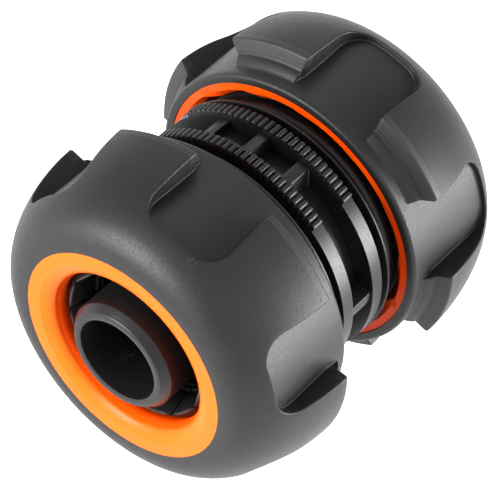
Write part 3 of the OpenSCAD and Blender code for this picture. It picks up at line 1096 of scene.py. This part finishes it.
class MENDER_OT_rings(bpy.types.Operator):
    """Build the two hard orange rings with their funnels and saw-tooth threads"""

    bl_idname = "mender.rings"
    bl_label = "Orange rings"

    def execute(self, context):
        s = in_mm(context.scene.mender_sizes)
        for end in ENDS:
            obj = object_of("ring", mesh_from("ring", *ring_sector(s)))
            ring_of(obj, s.starts, 2 * math.pi / s.starts, 0.0, orange_material())
            weld(obj.data, 0.003)
            obj.data.transform(END_TURN[end])
            finish_piece(obj, f"{end}_ring", orange_material(), smooth_to=35)
            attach(obj, f"{end}_nut")
            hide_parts(f"{end}_nut_insert")
        return {"FINISHED"}


class MENDER_OT_fingers(bpy.types.Operator):
    """Build the two rings of clamping fingers"""

    bl_idname = "mender.fingers"
    bl_label = "Clamping fingers"

    def execute(self, context):
        s = in_mm(context.scene.mender_sizes)
        for end in ENDS:
            obj = object_of("fingers", weld(mesh_from("fingers", *finger(s)), 0.001))
            ring_of(obj, s.fingers, 2 * math.pi / s.fingers, math.radians(SLIT_PHASE),
                    black_material(), merge=0.0001)
            obj.data.transform(Matrix.Scale(MM, 4))
            back = solid("collet_ring", collet_ring(), Matrix.Scale(MM, 4))
            joined(obj, [back])
            turn = Matrix.Rotation(math.radians(90 if end == "far" else -90), 4, "Y")
            obj.data.transform(turn)
            finish_piece(obj, f"{end}_fingers", black_material(), smooth_to=30)
            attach(obj, f"{end}_collet")
            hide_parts(f"{end}_collet")
        return {"FINISHED"}


class MENDER_OT_body(bpy.types.Operator):
    """Build the black body with its spigots, knurled flanges and ribs"""

    bl_idname = "mender.body"
    bl_label = "Body"

    def execute(self, context):
        s = in_mm(context.scene.mender_sizes)
        obj = make_body(s)
        finish_piece(obj, "mender_body", black_material(), smooth_to=32)
        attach(obj, "body")
        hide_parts("body")
        return {"FINISHED"}


# Stage

CAMERA_PLACE = (-0.25030, -0.10842, 0.36373)
CAMERA_TURN = (35.072, -11.919, -50.178)
CAMERA_LENS = 206.78
FLOOR_SIZE = 3.0
SEEN_FLOOR = 0.9
FILL = 0.5
SOFTBOX_AWAY = 0.7
# Name, azimuth and height in degrees, size in metres and power in watts
SOFTBOXES = (
    ("softbox_right", 300, 12, 0.34, 9.8), ("softbox_left", 155, 12, 0.34, 9.4),
    ("softbox_back", 45, 40, 0.34, 0.5), ("softbox_front", 246, 30, 1.0, 1.3),
)


def seen_directly(tree):
    """One where the camera, a reflection or a refraction looks straight at the surface."""
    path = tree.nodes.new("ShaderNodeLightPath")
    seen = scalar(tree, "MAXIMUM", path.outputs["Is Camera Ray"], path.outputs["Is Glossy Ray"])
    return scalar(tree, "MAXIMUM", seen, path.outputs["Is Transmission Ray"])


def floor_material():
    material = bpy.data.materials.new("studio_floor")
    material.use_nodes = True
    tree = material.node_tree
    tree.nodes.clear()
    matt = tree.nodes.new("ShaderNodeBsdfDiffuse")
    matt.inputs["Color"].default_value = (0.8, 0.8, 0.8, 1)
    glow = tree.nodes.new("ShaderNodeEmission")
    tree.links.new(scalar(tree, "MULTIPLY", seen_directly(tree), SEEN_FLOOR), glow.inputs["Strength"])
    both = tree.nodes.new("ShaderNodeAddShader")
    tree.links.new(matt.outputs[0], both.inputs[0])
    tree.links.new(glow.outputs[0], both.inputs[1])
    out = tree.nodes.new("ShaderNodeOutputMaterial")
    tree.links.new(both.outputs[0], out.inputs["Surface"])
    return material


def studio_world():
    world = bpy.data.worlds.new("studio")
    world.use_nodes = True
    tree = world.node_tree
    back = tree.nodes["Background"]
    back.inputs["Color"].default_value = (1, 1, 1, 1)
    tree.links.new(scalar(tree, "MAXIMUM", seen_directly(tree), FILL), back.inputs["Strength"])
    return world


def softbox(name, place, target, size, power):
    lamp = bpy.data.lights.new(name, "AREA")
    lamp.shape = "SQUARE"
    lamp.size = size
    lamp.energy = power
    obj = object_of(name, lamp)
    obj.location = place
    obj.rotation_euler = (Vector(target) - Vector(place)).to_track_quat("-Z", "Y").to_euler()
    return obj


class MENDER_OT_stage(bpy.types.Operator):
    """Build the floor, the lights and the camera"""

    bl_idname = "mender.stage"
    bl_label = "Stage"

    def execute(self, context):
        scene = context.scene
        scene.view_settings.view_transform = "Standard"
        scene.world = studio_world()
        half = FLOOR_SIZE / 2
        low = CAD_BOX[0][2]
        floor = object_of("studio_floor", mesh_from(
            "studio_floor", [(-half, -half, low), (half, -half, low), (half, half, low), (-half, half, low)],
            [(0, 1, 2, 3)]))
        floor.data.materials.append(floor_material())
        eye = bpy.data.cameras.new("camera")
        eye.lens = CAMERA_LENS
        camera = object_of("camera", eye)
        camera.location = CAMERA_PLACE
        camera.rotation_euler = Euler([math.radians(a) for a in CAMERA_TURN], "XYZ")
        scene.camera = camera
        for name, azimuth, height, size, power in SOFTBOXES:
            a, e = math.radians(azimuth), math.radians(height)
            place = Vector((math.cos(e) * math.cos(a), math.cos(e) * math.sin(a), math.sin(e)))
            softbox(name, place * SOFTBOX_AWAY, (0, 0, 0), size, power)
        return {"FINISHED"}


class MENDER_PT_panel(bpy.types.Panel):
    """Lists the mender's sizes, colours and pieces"""

    bl_idname = "MENDER_PT_panel"
    bl_label = "Hose mender"
    bl_space_type = "VIEW_3D"
    bl_region_type = "UI"
    bl_category = "Hose mender"

    def draw(self, context):
        layout = self.layout
        for operator in OPERATORS:
            layout.operator(operator.bl_idname)
        for group in (context.scene.mender_sizes, context.scene.mender_colours):
            box = layout.box()
            for key in group.__annotations__:
                box.prop(group, key)


OPERATORS = (MENDER_OT_grips, MENDER_OT_rings, MENDER_OT_fingers, MENDER_OT_body, MENDER_OT_stage)
CLASSES = (MenderSizes, MenderColours) + OPERATORS + (MENDER_PT_panel,)


def register():
    for cls in CLASSES:
        bpy.utils.register_class(cls)
    bpy.types.Scene.mender_sizes = PointerProperty(type=MenderSizes)
    bpy.types.Scene.mender_colours = PointerProperty(type=MenderColours)


def unregister():
    del bpy.types.Scene.mender_sizes
    del bpy.types.Scene.mender_colours
    for cls in reversed(CLASSES):
        bpy.utils.unregister_class(cls)


def main():
    register()
    bpy.ops.mender.body()
    bpy.ops.mender.fingers()
    bpy.ops.mender.rings()
    bpy.ops.mender.grips()
    bpy.ops.mender.stage()


if __name__ == "__main__":
    main()
